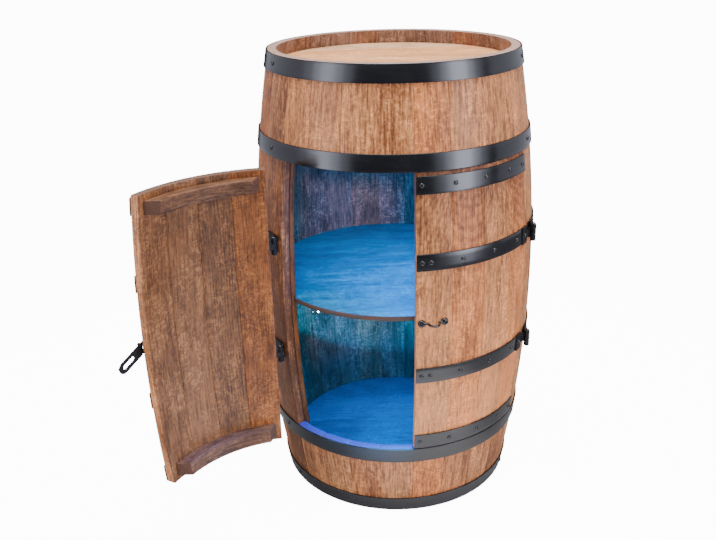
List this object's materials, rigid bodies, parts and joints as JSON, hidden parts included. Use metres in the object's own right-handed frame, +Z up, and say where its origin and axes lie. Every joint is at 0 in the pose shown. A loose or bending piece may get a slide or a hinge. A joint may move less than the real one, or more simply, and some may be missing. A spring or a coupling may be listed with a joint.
{
  "type": "barrel bar cabinet",
  "caption": "Oak barrel with black steel hoops made into a bar cabinet: curved hinged doors with a hasp and staple, a shelf and light strips inside.",
  "frame": {"origin": "on the floor, at the middle of the bounding box of the cabinet as it stands with its left door open", "axes": "+Z up along the barrel, -Y towards the front where the doors meet, +X towards the shut right door"},
  "size_m": [0.7172, 0.5592, 0.8],
  "materials": {
    "oak": "oiled",
    "dark_oak": "oiled",
    "pale_oak": "oiled",
    "shelf_board": "oiled",
    "black_steel": "satin black",
    "black_screw": "satin black",
    "light_strip": "diffusing",
    "black_plastic": "matt black"
  },
  "bodies": {
    "cabinet": {"back_staves_1": "oak", "back_staves_2": "oak", "back_staves_3": "oak", "back_staves_4": "oak", "back_staves_5": "oak", "back_staves_6": "oak", "back_staves_7": "oak", "back_staves_8": "oak", "back_staves_9": "oak", "front_upper_staves": "oak", "front_lower_staves": "oak", "top_head": "pale_oak", "bottom_head": "shelf_board", "middle_shelf": "shelf_board", "top_hoop": "black_steel", "upper_hoop": "black_steel", "lower_hoop": "black_steel", "bottom_hoop": "black_steel", "upper_middle_hoop": "black_steel", "lower_middle_hoop": "black_steel", "left_upright_batten": "dark_oak", "right_upright_batten": "dark_oak", "left_upper_hinge_pin": "black_screw", "left_lower_hinge_pin": "black_screw", "right_upper_hinge_pin": "black_screw", "right_lower_hinge_pin": "black_screw", "shelf_cleat_1": "dark_oak", "shelf_cleat_2": "dark_oak", "shelf_cleat_3": "dark_oak", "upper_light_strip": "light_strip", "lower_light_strip": "light_strip", "light_controller": "black_plastic", "cable_grommet": "black_plastic"},
    "left_door": {"left_door_stave_1": "oak", "left_door_stave_2": "oak", "left_door_stave_3": "oak", "left_door_stave_4": "oak", "left_door_strap_1": "black_steel", "left_door_strap_2": "black_steel", "left_door_strap_3": "black_steel", "left_door_strap_4": "black_steel", "left_door_top_batten": "dark_oak", "left_door_bottom_batten": "dark_oak", "hasp_pivot_screw": "black_screw"},
    "hasp_base": {"hasp_plate": "black_steel", "hasp_pin": "black_screw"},
    "hasp_flap": {"hasp_leaf": "black_steel"},
    "right_door": {"right_door_stave_1": "oak", "right_door_stave_2": "oak", "right_door_stave_3": "oak", "right_door_stave_4": "oak", "right_door_strap_1": "black_steel", "right_door_strap_2": "black_steel", "right_door_strap_3": "black_steel", "right_door_strap_4": "black_steel", "right_door_top_batten": "dark_oak", "right_door_bottom_batten": "dark_oak", "staple": "black_steel"}
  },
  "joints": [
    {"name": "left_door_hinge", "type": "hinge", "parent": "cabinet", "child": "left_door", "pos_m": [-0.1144, -0.11169, 0.4], "axis": [0, 0, -1], "range_deg": [-120.5, 49.5]},
    {"name": "right_door_hinge", "type": "hinge", "parent": "cabinet", "child": "right_door", "pos_m": [0.32573, -0.11169, 0.4], "axis": [0, 0, 1], "range_deg": [0, 170]},
    {"name": "hasp_swivel", "type": "hinge", "parent": "left_door", "child": "hasp_base", "pos_m": [-0.31218, -0.22741, 0.3935], "axis": [-0.8183, 0.5748, -0.003], "range_deg": [-71, 50]},
    {"name": "hasp_flap_hinge", "type": "hinge", "parent": "hasp_base", "child": "hasp_flap", "pos_m": [-0.32738, -0.23638, 0.38794], "axis": [0.1895, 0.2648, -0.9455], "range_deg": [0, 170]}
  ]
}
